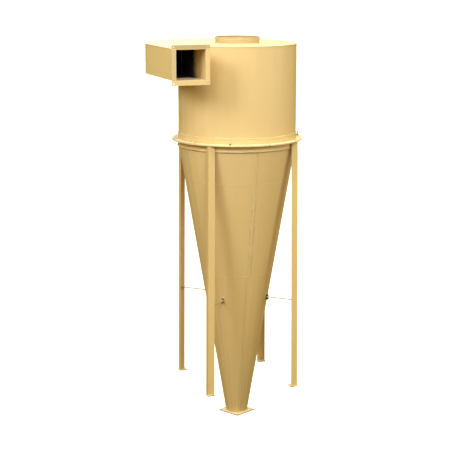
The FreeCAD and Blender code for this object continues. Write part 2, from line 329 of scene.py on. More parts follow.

# %% [markdown]
# An edge is found by comparing the true surface direction with one averaged over a few
# millimetres. On flat sheet the two agree. Near an edge they differ, and that difference, broken
# up by a fine noise, is where the film is thin and paler, as wear and as a painted highlight.

# %% Group: rubbed edges and painted highlight
group_inputs = [("Reach", FLOAT, 0.003), ("Strength", FLOAT, 1.0)]
rubbed_and_lit_edges, entry, end = start_group("rubbed_and_lit_edges", group_inputs, [("Mask", FLOAT)])
rounded = add(rubbed_and_lit_edges, "ShaderNodeBevel", {"Radius": entry["Reach"]}, samples=4)
flat = add(rubbed_and_lit_edges, "ShaderNodeNewGeometry").outputs["Normal"]
agree = vector_calc(rubbed_and_lit_edges, "DOT_PRODUCT", rounded.outputs[0], flat, output="Value")
edge = ramp(rubbed_and_lit_edges, agree, 0.995, 0.80)
broken = ramp(rubbed_and_lit_edges, noise(rubbed_and_lit_edges, scale=60.0), 0.30, 0.55)
worn_and_lit = product(rubbed_and_lit_edges, edge, broken, entry["Strength"])
rubbed_and_lit_edges.links.new(worn_and_lit, end.inputs["Mask"])
print("group:", rubbed_and_lit_edges.name)

# %% [markdown]
# Dust lies where the surface faces up, and the same mask paints light on those faces as it
# falls from above. The direction's upward share picks those places, and a noise leaves some of
# them cleaner.

# %% Group: settled dust and painted light from above
dust_and_top_light, entry, end = start_group("settled_dust_and_top_light", [("Amount", FLOAT, 0.5)], [("Mask", FLOAT)])
facing = add(dust_and_top_light, "ShaderNodeNewGeometry").outputs["Normal"]
upward = add(dust_and_top_light, "ShaderNodeSeparateXYZ", {"Vector": facing}).outputs["Z"]
lying = ramp(dust_and_top_light, upward, 0.25, 0.95)
patchy = ramp(dust_and_top_light, noise(dust_and_top_light, scale=9.0, detail=5.0), 0.2, 0.75, 0.45, 1.0)
dust_and_top_light_mask = product(dust_and_top_light, lying, patchy, entry["Amount"])
dust_and_top_light.links.new(dust_and_top_light_mask, end.inputs["Mask"])
print("group:", dust_and_top_light.name)

# %% [markdown]
# Grime gathers where two sheets meet: behind a lug, under a ring, along a weld's toe, and the
# same mask darkens those corners as painted shade. Ambient occlusion measures how shut in a
# place is within three centimetres.

# %% Group: grime and painted shade in corners
group_inputs = [("Reach", FLOAT, 0.03), ("Strength", FLOAT, 0.5)]
grime_and_shade, entry, end = start_group("corner_grime_and_shade", group_inputs, [("Mask", FLOAT)])
shut = add(grime_and_shade, "ShaderNodeAmbientOcclusion", {"Distance": entry["Reach"]}, samples=4)
closed = ramp(grime_and_shade, shut.outputs["AO"], 0.85, 0.25)
clouds = noise(grime_and_shade, scale=35.0, detail=4.0)
blotched = ramp(grime_and_shade, clouds, 0.25, 0.7, 0.35, 1.0)
dirty_and_shaded = product(grime_and_shade, closed, blotched, entry["Strength"])
grime_and_shade.links.new(dirty_and_shaded, end.inputs["Mask"])
print("group:", grime_and_shade.name)

# %% [markdown]
# The inside is not painted on purpose. The spray gun reaches a short way into the duct and the
# outlet, and past that there is bare steel, painted almost black as painted shade deep inside. A
# face belongs to the inside when it looks towards a centre inside the room that it bounds. How far
# the spray got is its distance from the middle of the opening.

# %% Groups: inside faces, and how far the spray reached before the painted shade
RAGGED_EDGE = 0.05

looks_inward, entry, end = start_group(
    "looks_inward", [("Centre", VECTOR, (0, 0, 0))], [("Mask", FLOAT)])
facing = add(looks_inward, "ShaderNodeNewGeometry").outputs["True Normal"]
away = vector_calc(looks_inward, "SUBTRACT", object_place(looks_inward), entry["Centre"])
side = vector_calc(looks_inward, "DOT_PRODUCT", facing, away, output="Value")
looks_inward.links.new(calc(looks_inward, "LESS_THAN", side, 0.0), end.inputs["Mask"])

group_inputs = [("Opening", VECTOR, (0, 0, 0)), ("Near", FLOAT, 0.1), ("Far", FLOAT, 0.3)]
spray_reach_before_shade, entry, end = start_group("spray_reach_before_shade", group_inputs, [("Mask", FLOAT)])
distance = vector_calc(
    spray_reach_before_shade, "DISTANCE", object_place(spray_reach_before_shade), entry["Opening"], output="Value")
clouds = noise(spray_reach_before_shade, scale=22.0)
ragged = product(spray_reach_before_shade, clouds, RAGGED_EDGE)
blown = calc(spray_reach_before_shade, "ADD", distance, ragged)
reached = ramp(spray_reach_before_shade, blown, entry["Near"], entry["Far"], 1.0, 0.0)
spray_reach_before_shade.links.new(reached, end.inputs["Mask"])
print("groups:", looks_inward.name, spray_reach_before_shade.name)

# %% [markdown]
# Rolling a sheet leaves faint upright bands, because the rolls press a little at each step.
# Their place is the angle round the axis. The same angle finds the strip along a cone's upright
# weld, which is darker at the toes of the bead, or was ground before painting.

# %% Groups: roller bands and the strip along a seam
BANDS_ROUND = 3.2                # how fast the bands change round the axis, per radian
BANDS_UP = 0.25                  # and upwards, per metre
WAVERING_EDGE = 0.008


def angle_round_axis(tree):
    """The azimuth about the axis in radians, the distance from it, and the level."""
    from_axis = vector_calc(tree, "SUBTRACT", object_place(tree), tuple(AXIS))
    parts = add(tree, "ShaderNodeSeparateXYZ", {"Vector": from_axis}).outputs
    azimuth = calc(tree, "ARCTAN2", parts["Y"], parts["X"])
    across = calc(tree, "POWER", parts["X"], 2.0)
    along = calc(tree, "POWER", parts["Y"], 2.0)
    return azimuth, calc(tree, "SQRT", calc(tree, "ADD", across, along)), parts["Z"]


roller_bands, entry, end = start_group(
    "roller_bands", [("Strength", FLOAT, 0.5)], [("Height", FLOAT)])
azimuth, radius, level = angle_round_axis(roller_bands)
stretched = add(roller_bands, "ShaderNodeCombineXYZ", {
    "X": product(roller_bands, azimuth, BANDS_ROUND),
    "Y": product(roller_bands, level, BANDS_UP),
}).outputs[0]
rolled = noise(roller_bands, stretched, scale=2.0, detail=0.0)
bands = product(roller_bands, rolled, entry["Strength"])
roller_bands.links.new(bands, end.inputs["Height"])

group_inputs = [("Azimuth", FLOAT, 0.0), ("Half Width", FLOAT, 0.015)]
ground_strip, entry, end = start_group("ground_strip", group_inputs, [("Mask", FLOAT)])
azimuth, radius, level = angle_round_axis(ground_strip)
offset = calc(ground_strip, "ABSOLUTE", calc(ground_strip, "SUBTRACT", azimuth, entry["Azimuth"]))
gap = product(ground_strip, offset, radius)
clouds = noise(ground_strip, scale=40.0)
gap = calc(ground_strip, "ADD", gap, product(ground_strip, clouds, WAVERING_EDGE))
share = calc(ground_strip, "DIVIDE", gap, entry["Half Width"])
ground_strip.links.new(ramp(ground_strip, share, 1.25, 0.85), end.inputs["Mask"])
print("groups:", roller_bands.name, ground_strip.name)

# %% [markdown]
# A finish is one coat of paint with the groups mixed over it. The base colour starts from the
# spray tone, then grime and painted shade darken it, dust with painted light and rubbed edges
# with a painted highlight make it paler, and bare steel, painted almost black as shade, takes
# over inside. A weld that was dressed has a paler ground strip beside it, with specks rubbed
# through and a broken darker line at the strip's edges. The upright edges of a plate are painted
# dark as painted shade. Roughness follows the same masks. Height comes from the orange peel, the
# rolling and the grinding, through one Bump node that starts from slightly rounded edges.

# %% Make a paint finish
PAINT = (0.82, 0.575, 0.250, 1)
PAINT_DEEP = (0.74, 0.495, 0.190, 1)
# paler paint: worn edges with a painted highlight on them, and ground strips beside welds
PAINT_RUBBED_AND_LIT = (0.93, 0.76, 0.45, 1)
# dust, which is also painted light on faces that look up
DUST_AND_TOP_LIGHT = (0.92, 0.84, 0.62, 1)
# grime, which is also painted shade in corners
GRIME_AND_SHADE = (0.20, 0.12, 0.035, 1)
PAINT_SHADED = (0.56, 0.410, 0.195, 1)        # the outlet and the frame's top: a darker copy of the paint, as painted shade
PAINT_SHADED_DEEP = (0.48, 0.340, 0.140, 1)
PAINT_HALF_SHADED = (0.69, 0.490, 0.225, 1)        # the frame's outer bar: a darker copy of the paint, as painted shade
PAINT_LIT = (0.93, 0.690, 0.320, 1)         # the lower ring: a lighter copy of the paint, as painted light
TIE = (0.42, 0.30, 0.115, 1)             # the ties, thinly painted over rusty round bar
TIE_DEEP = (0.30, 0.19, 0.065, 1)
# bare steel, painted almost black as painted shade inside and on the upright edges of plates
BARE_STEEL_AND_SHADE = (0.030, 0.024, 0.020, 1)
EDGE_ROUNDING = 0.0015
TOE = 0.0095                     # half the width of the darker line along an upright weld
TOE_DARKENING = 0.28
GROUND = 0.020                   # half the width of the strip ground beside a dressed weld
GROUND_CORE = GROUND * 0.66      # half the width of its middle, which the grinder rubbed most
GROUND_PALE = 0.14
GROUND_HEIGHT = 0.0003
SPECK_PALE = 0.75
PEEL_HEIGHT = 0.00012            # of the orange peel, where its noise is 1
BAND_HEIGHT = 0.012              # of the roller bands, where their noise is 1
# Added to the roughness where each mask is 1.
DULLER = {"tone": 0.10, "toe": 0.15, "dust_and_top_light": 0.25, "grime_and_shade": 0.20, "bare_and_shaded": 0.20}


def paint(name, drift=0.7, peel=0.5, bands=0.0, dusty_and_lit=0.5, dirty_and_shaded=0.5, rubbed_and_lit=0.8,
          gloss=0.42, inside=None, opening=None, near=0.1, far=0.3, seam=None, dressed=False,
          shaded_sides=0.0, coat=(PAINT_DEEP, PAINT)):
    """A sand paint finish: colour = coat by tone, then each mask mixes its own colour over it.

    inside is a centre that inside faces look at, and opening is the middle of the hole that the
    gun sprayed through, as far as near in full and up to far in part. seam is the azimuth of an
    upright weld, ground beside if dressed. sheared is how dark the upright edges are painted, as
    painted shade."""
    material, tree, shader = start_finish(name)
    sprayed = use_group(tree, spray_tone, Drift=drift, Peel=peel)
    worn_and_lit = use_group(tree, rubbed_and_lit_edges, Strength=rubbed_and_lit)["Mask"]
    dust_and_top_light_mask = use_group(tree, dust_and_top_light, Amount=dusty_and_lit)["Mask"]
    grime_and_shade_mask = use_group(tree, grime_and_shade, Strength=dirty_and_shaded)["Mask"]

    colour = blend_colour(tree, sprayed["Tone"], *coat)
    rough = calc(tree, "MULTIPLY_ADD", sprayed["Tone"], DULLER["tone"], gloss)
    height = product(tree, sprayed["Height"], PEEL_HEIGHT)
    if seam is not None:
        toe = use_group(tree, ground_strip, Azimuth=seam, Half_Width=TOE)["Mask"]
        if dressed:
            strip = use_group(tree, ground_strip, Azimuth=seam, Half_Width=GROUND)["Mask"]
            core = use_group(tree, ground_strip, Azimuth=seam, Half_Width=GROUND_CORE)["Mask"]
            specks = ramp(tree, noise(tree, scale=55.0), 0.56, 0.66)
            specks = product(tree, specks, core)
            for mask, pale in ((strip, GROUND_PALE), (specks, SPECK_PALE)):
                mask = product(tree, mask, pale)
                colour = blend_colour(tree, mask, colour, PAINT_RUBBED_AND_LIT)
            broken = ramp(tree, noise(tree, scale=14.0), 0.34, 0.60)
            toe = product(tree, calc(tree, "SUBTRACT", strip, core), broken)
            height = calc(tree, "MULTIPLY_ADD", strip, GROUND_HEIGHT, height)
        colour = blend_colour(tree, product(tree, toe, TOE_DARKENING), colour, GRIME_AND_SHADE)
        rough = calc(tree, "MULTIPLY_ADD", toe, DULLER["toe"], rough)
    if bands:
        rolled = use_group(tree, roller_bands, Strength=bands)["Height"]
        height = calc(tree, "MULTIPLY_ADD", rolled, BAND_HEIGHT, height)
    # Grime with painted shade darkens corners, dust with painted light pales what faces up, and
    # edges get a painted highlight.
    colour = blend_colour(tree, grime_and_shade_mask, colour, GRIME_AND_SHADE)
    colour = blend_colour(tree, dust_and_top_light_mask, colour, DUST_AND_TOP_LIGHT)
    colour = blend_colour(tree, worn_and_lit, colour, PAINT_RUBBED_AND_LIT)
    # Upright faces are painted dark here: painted shade on the sides of plates.
    if shaded_sides:
        facing = add(tree, "ShaderNodeNewGeometry").outputs["True Normal"]
        upward = add(tree, "ShaderNodeSeparateXYZ", {"Vector": facing}).outputs["Z"]
        shaded_side_mask = ramp(tree, calc(tree, "ABSOLUTE", upward), 0.6, 0.4, 0.0, shaded_sides)
        colour = blend_colour(tree, shaded_side_mask, colour, BARE_STEEL_AND_SHADE)
    rough = calc(tree, "MULTIPLY_ADD", dust_and_top_light_mask, DULLER["dust_and_top_light"], rough)
    rough = calc(tree, "MULTIPLY_ADD", grime_and_shade_mask, DULLER["grime_and_shade"], rough)
    # Past the spray's reach, inside faces are painted almost black: bare steel and painted shade.
    if inside is not None:
        inner = use_group(tree, looks_inward, Centre=inside)["Mask"]
        bare_and_shaded = inner
        if opening is not None:
            reached = use_group(tree, spray_reach_before_shade, Opening=opening, Near=near, Far=far)["Mask"]
            bare_and_shaded = product(tree, inner, calc(tree, "SUBTRACT", 1.0, reached))
        colour = blend_colour(tree, bare_and_shaded, colour, BARE_STEEL_AND_SHADE)
        rough = calc(tree, "MULTIPLY_ADD", bare_and_shaded, DULLER["bare_and_shaded"], rough)

    soft_edge = add(tree, "ShaderNodeBevel", {"Radius": EDGE_ROUNDING}, samples=4).outputs[0]
    relief = {"Height": height, "Normal": soft_edge, "Strength": 1.0, "Distance": 1.0}
    bump = add(tree, "ShaderNodeBump", relief)
    tree.links.new(colour, shader.inputs["Base Color"])
    tree.links.new(calc(tree, "MINIMUM", rough, 1.0), shader.inputs["Roughness"])
    tree.links.new(bump.outputs[0], shader.inputs["Normal"])
    return material


print("coat colour:", PAINT[:3])

# %% [markdown]
# Each sub-part gets the finish that suits how it was made. Rolled sheet has bands, flat sheet
# doesn't, and angle iron has paler edges, worn because it is handled and hoisted by them and
# with a stronger painted highlight. Some parts get darker or lighter coats, as painted shade and
# painted light.

# %% Paint the CAD sub-parts
mouth_low, mouth_high = box_of("mouth_bar_bottom")[0], box_of("mouth_bar_top")[1]
outer_wall_low, outer_wall_high = box_of("duct_outer_wall")
OUTER_WALL = outer_wall_low[0]
INNER_WALL = box_of("duct_inner_wall")[1][0]
FACE_Y = mouth_low[1]
INTO_THE_DUCT = 0.35
DUCT_X = (OUTER_WALL + INNER_WALL) / 2
DUCT_Z = (outer_wall_low[2] + outer_wall_high[2]) / 2
MOUTH = (DUCT_X, FACE_Y, DUCT_Z)
DUCT_CENTRE = (DUCT_X, FACE_Y + INTO_THE_DUCT, DUCT_Z)
BARREL_CENTRE = (AXIS[0], AXIS[1], DUCT_Z)
OUTLET_RIM = (AXIS[0], AXIS[1], outlet_high[2])
CONE_SEAMS = {
    "cone_upper": np.radians(-90.2),
    "cone_middle": np.radians(-90.7),
    "cone_lower": np.radians(-94.5),
}

in_duct = dict(inside=DUCT_CENTRE, opening=MOUTH, near=0.24, far=0.35)
in_outlet = dict(inside=OUTLET_RIM, opening=OUTLET_RIM, near=0.19, far=0.26)
# The outlet, its hoop and the frame's top and outer bar get darker coats, as painted shade.
shaded_coat = dict(coat=(PAINT_SHADED_DEEP, PAINT_SHADED))
looks = {
    "duct_sheet": in_duct,
    "roof_sheet": dict(dusty_and_lit=0.7, **in_duct),
    "barrel_sheet": dict(bands=0.5, inside=BARREL_CENTRE),
    "scroll_sheet": dict(bands=0.3, inside=BARREL_CENTRE),
    "outlet_sheet": dict(bands=0.3, **in_outlet, **shaded_coat),
    "outlet_band": dict(drift=0.9, dirty_and_shaded=0.7, **shaded_coat),
    "angle_iron": dict(drift=0.9, dusty_and_lit=0.9, rubbed_and_lit=1.0, gloss=0.38),
    "tie_iron": dict(drift=1.2, dusty_and_lit=0.3, dirty_and_shaded=0.8, coat=(TIE_DEEP, TIE)),
    # Plates get their upright edges painted dark, as painted shade.
    "plate": dict(drift=0.9, dusty_and_lit=0.7, rubbed_and_lit=0.5, gloss=0.45, shaded_sides=0.9),
    "frame_top": dict(dusty_and_lit=0.3, rubbed_and_lit=0.6, **shaded_coat),
    "frame_outer": dict(dusty_and_lit=0.5, coat=(PAINT_SHADED, PAINT_HALF_SHADED)),
    # The lower ring gets a lighter coat, as painted light.
    "lower_ring": dict(dusty_and_lit=0.9, rubbed_and_lit=1.0, coat=(PAINT, PAINT_LIT)),
}
for course, azimuth in CONE_SEAMS.items():
    looks[course + "_sheet"] = dict(
        bands=0.5, inside=BARREL_CENTRE, seam=azimuth, dressed=course == "cone_middle")
finishes = {name: paint(name, **look) for name, look in looks.items()}

worn_by = {                       # finishes by the start of a name; the rest is angle iron
    "roof_plate": "roof_sheet", "scroll_floor": "duct_sheet", "scroll_wall": "scroll_sheet",
    "barrel_shell": "barrel_sheet", "duct_outer_wall": "duct_sheet",
    "duct_inner_wall": "duct_sheet", "outlet_pipe": "outlet_sheet", "outlet_hoop": "outlet_band",
    "discharge_flange": "plate", "mouth_bar_top": "frame_top",
    "mouth_bar_outer": "frame_outer", "cone_ring": "lower_ring",
    "foot_plate": "plate", "tie_lug": "plate", "tie_rod": "tie_iron",
    **{course: course + "_sheet" for course in CONE_SEAMS},
}
for name, item in nodes.items():
    fitting = [finish for start, finish in worn_by.items() if name.startswith(start)]
    item.data.materials.clear()
    item.data.materials.append(finishes[(fitting + ["angle_iron"])[0]])
print("painted:", len(nodes), "sub-parts with", len(finishes), "finishes")

# %% [markdown]
# ## Surfaces from numbers
# Every new piece is a closed skin over a grid of points: rows run along the piece and columns
# run round it. The points come from a formula, worked out for the whole grid at once. One helper
# turns such grids into a mesh, closes the two ends, and checks which way the faces look.

# %% Helper: a mesh piece from closed skins
def skin_faces(rows, columns, ring):
    """Quads (i, j), (i, j+1), (i+1, j+1), (i+1, j); the last column meets the first."""
    i = np.arange(rows if ring else rows - 1)[:, None]
    j = np.arange(columns)[None, :]
    below, above = i * columns, (i + 1) % rows * columns
    turn = (j + 1) % columns
    quads = np.stack([below + j, below + turn, above + turn, above + j], axis=-1)
    return quads.reshape(-1, 4)


def volume_inside(points, quads):
    """Six times the volume inside quads cut in triangles; below 0 where they face inwards."""
    a, b, c, d = (points[quads[:, k]] - points.mean(0) for k in range(4))
    return (a * np.cross(b, c)).sum() + (a * np.cross(c, d)).sum()


def make_piece(name, skins, finish, ring=False, sharp=35.0):
    """One object from a list of grids, each an array of rows, columns and three coordinates.

    A ring's last row meets its first. Any other grid gets a flat face over each end."""
    points, faces, start = [], [], 0
    for grid in skins:
        rows, columns, _ = grid.shape
        flat = grid.reshape(-1, 3)
        quads = skin_faces(rows, columns, ring)
        first_end = np.arange(columns)[::-1]
        last_end = np.arange(columns) + (rows - 1) * columns
        ends = [] if ring else [first_end, last_end]
        flip = volume_inside(flat, quads) < 0
        for face in (quads, *ends):
            turned = face[..., ::-1] if flip else face
            faces += np.atleast_2d(turned + start).tolist()
        points.append(flat)
        start += len(flat)
    mesh = bpy.data.meshes.new(name)
    mesh.from_pydata(np.concatenate(points), [], faces)
    mesh.shade_smooth()
    mesh.set_sharp_from_angle(angle=np.radians(sharp))
    mesh.materials.append(finish)
    piece = put_in_scene(name, mesh)
    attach(piece, "root")
    print(name, "faces:", len(faces))


# %% [markdown]
# ## Weld beads
# A bead is metal laid drop by drop along a joint, so it is a low round ridge with ripples like
# laid coins. It could be a bevelled curve, but a curve has no ripples. Here the section of the
# ridge is carried along the joint, and its height swells once for each drop. A hand doesn't move
# evenly, so the bead wanders a little and has lumps where the welder stopped and started again.

# %% Helper: a weld bead along a path
RIPPLE = 0.006                    # from drop to drop
RIPPLE_STEPS = 4
DROP = 0.16                       # share of the height that a drop adds
LATER = 0.35                      # of a ripple, by which the middle lags behind the sides
AROUND = 10                       # points round the section
RESTART = 0.22                    # about how far a welder goes without stopping
UNEVEN = 0.3                      # share of that by which a stop comes sooner or later
LUMP = 0.45                       # share of the size that a stop adds
LUMP_LENGTH = 0.006
WANDER = (0.04, 0.0005)           # spacing along the bead, and how far it strays
SWELL = (0.03, 0.14)              # spacing along the bead, and share of its size
FILLET = (0.008, 0.003)           # width and height of the usual bead
THIN = (0.006, 0.0012)            # and of one on the edge of a sheet
HAIR = 0.0005                     # keeps a bead's middle out of the plane of a sheet
CORNER = 0.001                    # and this out of the corner of two
hand = np.random.default_rng(11)


def even_steps(path, outward, step, ring):
    """The path and its outward directions, at equal distances along it."""
    if ring:
        path, outward = np.vstack([path, path[:1]]), np.vstack([outward, outward[:1]])
    along = np.concatenate([[0], np.cumsum(np.linalg.norm(np.diff(path, axis=0), axis=1))])
    count = max(int(round(along[-1] / step)), 6)
    at = np.linspace(0, along[-1], count + 1)[:-1 if ring else None]
    centre = np.column_stack([np.interp(at, along, path[:, k]) for k in range(3)])
    out = np.column_stack([np.interp(at, along, outward[:, k]) for k in range(3)])
    return at, along[-1], centre, out / np.linalg.norm(out, axis=1, keepdims=True)


def unsteady(at, length, spacing, amount, ring):
    """A smooth random value along the bead, from random numbers at equal spacing."""
    knots = np.linspace(0, length, max(int(length / spacing), 2) + 1)
    values = hand.uniform(-amount, amount, len(knots))
    if ring:
        values[-1] = values[0]
    return np.interp(at, knots, values)


def bead(path, outward, width, height, ring=False):
    """Grid of a bead: centre + sideways * width / 2 * cos t + outward * height * sin t.

    The height swells by a sine of distance / RIPPLE, later in the middle than at the sides,
    and below the sheet the section is a third as deep. A stop adds a lump, e to the power of
    minus its distance squared. Both ends shrink in a quarter circle."""
    at, length, centre, out = even_steps(path, outward, RIPPLE / RIPPLE_STEPS, ring)
    if ring:
        tangent = np.roll(centre, -1, axis=0) - np.roll(centre, 1, axis=0)
    else:
        tangent = np.gradient(centre, axis=0)
    sideways = np.cross(tangent, out)
    sideways /= np.linalg.norm(sideways, axis=1, keepdims=True)
    wander = unsteady(at, length, *WANDER, ring)
    swell = 1 + unsteady(at, length, *SWELL, ring)
    stops = np.arange(RESTART, length - RESTART / 3, RESTART)
    stops += hand.uniform(-UNEVEN, UNEVEN, len(stops)) * RESTART
    lumps = np.exp(-(((at[:, None] - stops) / LUMP_LENGTH) ** 2)).sum(axis=1)
    swell += LUMP * lumps
    if not ring:
        run_out = np.clip(np.minimum(at, length - at) / (width / 2), 0, 1)
        swell *= np.sqrt(np.clip(1 - (1 - run_out) ** 2, 0.01, 1))
    t = np.linspace(0, 2 * np.pi, AROUND, endpoint=False)
    drops = 1 + DROP * np.sin(2 * np.pi * (at[:, None] / RIPPLE + LATER * np.cos(t) ** 2))
    lift = np.where(np.sin(t) > 0, np.sin(t), np.sin(t) / 3) * height * drops * swell[:, None]
    reach = np.cos(t) * (width / 2) * swell[:, None] + wander[:, None]
    return centre[:, None] + sideways[:, None] * reach[..., None] + out[:, None] * lift[..., None]


def round_path(radius, level, start, end, lean, centre=AXIS):
    """Points on a level arc, and outward directions that lean up by lean; angles in degrees."""
    count = max(int(abs(end - start)), 8)
    azimuth = np.radians(np.linspace(start, end, count, endpoint=abs(end - start) < 360))
    ray = np.column_stack([np.cos(azimuth), np.sin(azimuth), np.zeros(count)])
    out = ray * np.cos(np.radians(lean)) + (0, 0, np.sin(np.radians(lean)))
    return np.asarray(centre) * (1, 1, 0) + ray * radius + (0, 0, level), out


def straight_path(start, end, outward):
    """Two ends and one outward direction."""
    return np.array([start, end], float), np.array([outward, outward], float)


print("ripple:", RIPPLE, "m, section of", AROUND, "points")

# %% [markdown]
# The beads were painted with the rest. They gather more grime and painted shade at their toes,
# and their tops are rubbed and carry a painted highlight. The ring's nuts and bolts were painted
# too, all but a few that were changed later: their zinc is dull, with paint smeared on it.

# %% Finishes for welds and bolts
weld_paint = paint("weld_paint", drift=1.2, peel=1.0, dusty_and_lit=0.35, dirty_and_shaded=0.8, rubbed_and_lit=0.6, gloss=0.40)
bolt_paint = paint("bolt_paint", drift=1.2, dusty_and_lit=0.6, dirty_and_shaded=0.8, rubbed_and_lit=0.6)

ZINC = (0.36, 0.30, 0.21, 1)
ZINC_DULL = (0.16, 0.12, 0.07, 1)
ZINC_METAL = 0.7
bolt_zinc, tree, shader = start_finish("bolt_zinc")
place = object_place(tree)
cloud = noise(tree, place, scale=90.0, detail=4.0)
colour = blend_colour(tree, ramp(tree, cloud, 0.35, 0.65), ZINC_DULL, ZINC)
smeared = ramp(tree, noise(tree, place, scale=55.0, detail=3.0), 0.50, 0.60)
# Grime and painted shade darken the corners of the bare bolts.
grime_and_shade_mask = use_group(tree, grime_and_shade, Strength=0.9)["Mask"]
colour = blend_colour(tree, smeared, colour, PAINT_DEEP)
colour = blend_colour(tree, grime_and_shade_mask, colour, GRIME_AND_SHADE)
metal = product(tree, calc(tree, "SUBTRACT", 1.0, smeared), ZINC_METAL)
tree.links.new(colour, shader.inputs["Base Color"])
tree.links.new(metal, shader.inputs["Metallic"])
tree.links.new(calc(tree, "MULTIPLY_ADD", cloud, 0.3, 0.35), shader.inputs["Roughness"])
scratched = {"Height": noise(tree, place, scale=700.0), "Distance": 0.0001}
scratches = add(tree, "ShaderNodeBump", scratched)
tree.links.new(scratches.outputs[0], shader.inputs["Normal"])
print("finishes:", weld_paint.name, bolt_paint.name, bolt_zinc.name)

# %% [markdown]
# The cone is rolled from three flat pieces. Each has one upright weld where its edges meet. The
# upper two stand in line at the front, and the lowest is a little to the left of them. Two round
# welds join the courses. They were ground almost flush, so they show as thin lines.

# %% Welds of the cone
upper_seam_corner = box_of("cone_middle")[1]
tip_low, lower_seam_corner = box_of("cone_lower")
TIP_LEVEL = tip_low[2]
UPPER_SEAM = upper_seam_corner[2]
LOWER_SEAM = lower_seam_corner[2]
UPPER_SEAM_RADIUS = upper_seam_corner[0] - AXIS[0]
LOWER_SEAM_RADIUS = lower_seam_corner[0] - AXIS[0]
CONE_GROWTH = (UPPER_SEAM_RADIUS - LOWER_SEAM_RADIUS) / (UPPER_SEAM - LOWER_SEAM)
CONE_LEAN = -np.degrees(np.arctan(CONE_GROWTH))
COLLAR_LEVEL = UPPER_SEAM + (SHELL_RADIUS - UPPER_SEAM_RADIUS) / CONE_GROWTH
CLEAR_OF_FLANGE = 0.006


def cone_radius(level):
    """Outside radius of the cone: it grows by the same amount for each metre up."""
    return LOWER_SEAM_RADIUS + (level - LOWER_SEAM) * CONE_GROWTH


def down_the_cone(azimuth, top, bottom):
    """A path down the outside of the cone at one azimuth in radians."""
    level = np.linspace(top, bottom, 12)
    ray = np.array([np.cos(azimuth), np.sin(azimuth), 0])
    path = AXIS + ray * cone_radius(level)[:, None] + (0, 0, 1) * level[:, None]
    lean = np.radians(CONE_LEAN)
    return path, np.tile(ray * np.cos(lean) + (0, 0, np.sin(lean)), (len(level), 1))


spans = {
    "cone_upper": (COLLAR_LEVEL, UPPER_SEAM),
    "cone_middle": (UPPER_SEAM, LOWER_SEAM),
    "cone_lower": (LOWER_SEAM, TIP_LEVEL + CLEAR_OF_FLANGE),
}
for course, (top, bottom) in spans.items():
    seam = bead(*down_the_cone(CONE_SEAMS[course], top, bottom), width=0.010, height=0.0035)
    make_piece(f"weld_{course}_upright", [seam], weld_paint)
for label, level in (("upper", UPPER_SEAM), ("lower", LOWER_SEAM)):
    path = round_path(cone_radius(level), level, 0, 360, CONE_LEAN)
    seam = bead(*path, width=0.005, height=0.0004, ring=True)
    make_piece(f"weld_cone_round_{label}", [seam], weld_paint, ring=True)

# %% [markdown]
# The barrel's own upright weld is at the back. The upper angle ring is stitched on, with gaps
# between short welds, because a full weld would pull thin sheet out of round. The lower ring
# keeps the cone's dust in and the discharge flange carries the hopper, so both are welded all
# round.

# %% Welds of the barrel, the rings and the discharge flange
RING_TOP = box_of("barrel_ring")[1][2]
RING_BOTTOM = box_of("cone_ring")[0][2]
DUCT_FLOOR = box_of("scroll_floor")[0][2]
BARREL_SEAM_AZIMUTH = np.radians(108.0)
STITCHES = 12
STITCH = 15.0                     # degrees
FIRST_STITCH = -102.5

ray = np.array([np.cos(BARREL_SEAM_AZIMUTH), np.sin(BARREL_SEAM_AZIMUTH), 0])
beside_seam = AXIS + ray * SHELL_RADIUS
path = straight_path(beside_seam + (0, 0, RING_TOP), beside_seam + (0, 0, DUCT_FLOOR), ray)
seam = bead(*path, width=0.009, height=0.002)
make_piece("weld_barrel_upright", [seam], weld_paint)


def stitch(start):
    """A short bead on the upper ring, from one azimuth in degrees."""
    path = round_path(SHELL_RADIUS + 2.5 * CORNER, RING_TOP, start, start + STITCH, 50)
    return bead(*path, *FILLET)


starts = FIRST_STITCH + np.arange(STITCHES) * 360 / STITCHES
make_piece("weld_barrel_ring", [stitch(start) for start in starts], weld_paint)
path = round_path(SHELL_RADIUS + CORNER, RING_BOTTOM, 0, 360, -12)
seam = bead(*path, width=0.013, height=0.0055, ring=True)
make_piece("weld_cone_ring", [seam], weld_paint, ring=True)
path = round_path(cone_radius(TIP_LEVEL) + 1.5 * CORNER, TIP_LEVEL + CORNER, 0, 360, 45)
seam = bead(*path, width=0.009, height=0.0035, ring=True)
make_piece("weld_discharge", [seam], weld_paint, ring=True)

# %% [markdown]
# The roof is a flat plate welded along its edge to the barrel, to the scroll round the back and to
# the duct. The duct's floor is joined in the same way from below. Both beads follow the plan of
# the scroll: along the duct, round a half circle behind, and straight back to the barrel.

# %% Welds of the roof, the duct and the scroll
ROOF_TOP = box_of("roof_plate")[1][2]
SCROLL_START = outer_wall_high[1]
SCROLL_RADIUS = (AXIS[0] + SHELL_RADIUS - OUTER_WALL) / 2
SCROLL_CENTRE = np.array([OUTER_WALL + SCROLL_RADIUS, SCROLL_START, 0])
SLEEVE_END = box_of("mouth_bar_top")[1][1]
MEETING = AXIS[1] - np.sqrt(SHELL_RADIUS ** 2 - (AXIS[0] - INNER_WALL) ** 2)
MEETING_AZIMUTH = -180 + np.degrees(np.arcsin((AXIS[1] - MEETING) / SHELL_RADIUS))


def scroll_plan(level, lean, end_y):
    """Path from the mouth along the duct's outer wall, round the back, and on to end_y."""
    lift = np.radians(lean)
    mouth_end = [(OUTER_WALL, SLEEVE_END, level)], [(-np.cos(lift), 0, np.sin(lift))]
    back = round_path(SCROLL_RADIUS, level, 180, 0, lean, SCROLL_CENTRE)
    tail_end = [(AXIS[0] + SHELL_RADIUS, end_y, level)], [(np.cos(lift), 0, np.sin(lift))]
    return [np.vstack(parts) for parts in zip(mouth_end, back, tail_end)]


